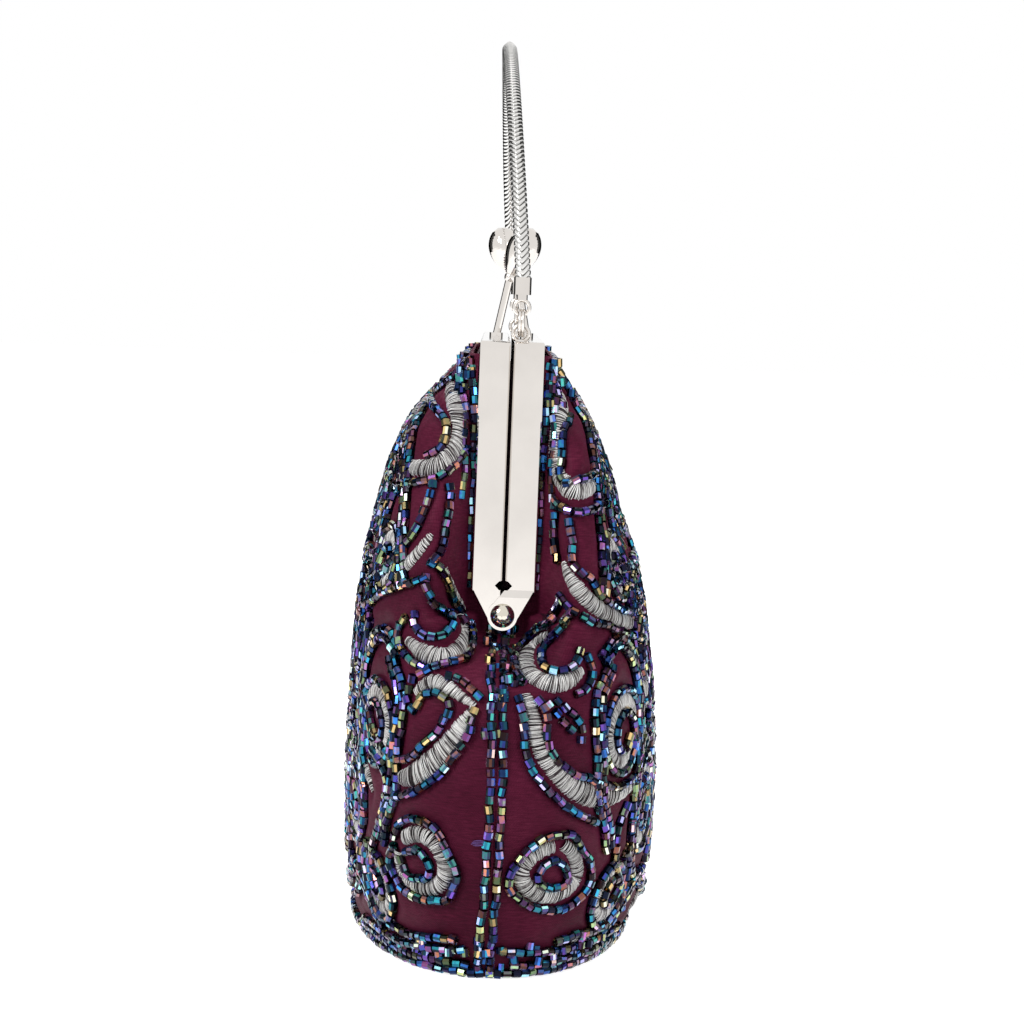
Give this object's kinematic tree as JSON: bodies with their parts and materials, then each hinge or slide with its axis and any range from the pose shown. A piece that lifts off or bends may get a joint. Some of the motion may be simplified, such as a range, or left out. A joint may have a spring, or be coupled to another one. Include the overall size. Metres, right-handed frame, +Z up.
{
  "type": "evening clutch",
  "caption": "Soft beaded evening clutch on a hinged metal kiss-lock frame, with a snap clasp on top and a slim arched snake-chain handle.",
  "frame": {"origin": "centre of the underside, on the surface the clutch stands on", "axes": "+X along the bag's length, -Y is the front, +Z up"},
  "size_m": [0.204, 0.0726, 0.2082],
  "materials": {
    "satin": "burgundy satin with a soft sheen",
    "lining": "dark plum lining satin",
    "beads": "opaque glass with an iridescent coat",
    "nickel": "polished nickel plate",
    "cord": "twisted cotton cord"
  },
  "bodies": {
    "pouch": {"pouch_front": "satin", "pouch_back": "satin", "base_panel": "satin", "pouch_lining": "lining", "base_beads": "beads", "pouch_scrolls_front": "beads", "pouch_scrolls_back": "beads", "seam_beads_right": "beads", "seam_beads_left": "beads"},
    "front_frame": {"frame_front": "nickel", "panel_front": "satin", "panel_lining_front": "lining", "panel_scrolls_front": "beads", "binding_cord_front": "cord", "frame_beads_front": "beads", "clasp_arm_front": "nickel", "clasp_head_front": "nickel"},
    "back_frame": {"frame_back": "nickel", "panel_back": "satin", "panel_lining_back": "lining", "panel_scrolls_back": "beads", "binding_cord_back": "cord", "frame_beads_back": "beads", "clasp_arm_back": "nickel", "clasp_head_back": "nickel", "hinge_rivet_right": "nickel", "hinge_rivet_left": "nickel", "hinge_washer_right": "nickel", "hinge_washer_left": "nickel", "handle_eye_right": "nickel", "handle_eye_left": "nickel"},
    "jump_rings": {"jump_ring_right": "nickel", "jump_ring_left": "nickel"},
    "handle": {"chain_cap_right": "nickel", "chain_cap_left": "nickel", "chain_ring_right": "nickel", "chain_ring_left": "nickel", "snake_chain": "nickel"}
  },
  "joints": [
    {"name": "front_frame_hinge", "type": "hinge", "parent": "pouch", "child": "front_frame", "pos_m": [0, 0, 0.0777], "axis": [1, 0, 0], "range_deg": [0, 35]},
    {"name": "back_frame_hinge", "type": "hinge", "parent": "pouch", "child": "back_frame", "pos_m": [0, 0, 0.0777], "axis": [-1, 0, 0], "range_deg": [0, 35]},
    {"name": "jump_rings_swing", "type": "hinge", "parent": "back_frame", "child": "jump_rings", "pos_m": [0.074, 0.0017, 0.13888], "axis": [1, 0, 0], "range_deg": [-65, 65]},
    {"name": "handle_swing", "type": "hinge", "parent": "jump_rings", "child": "handle", "pos_m": [0.074, 0.0017, 0.14463], "axis": [1, 0, 0], "range_deg": [-65, 35]}
  ],
  "couplings": [
    {"joint": "back_frame_hinge", "follows": "front_frame_hinge", "ratio": 1}
  ]
}
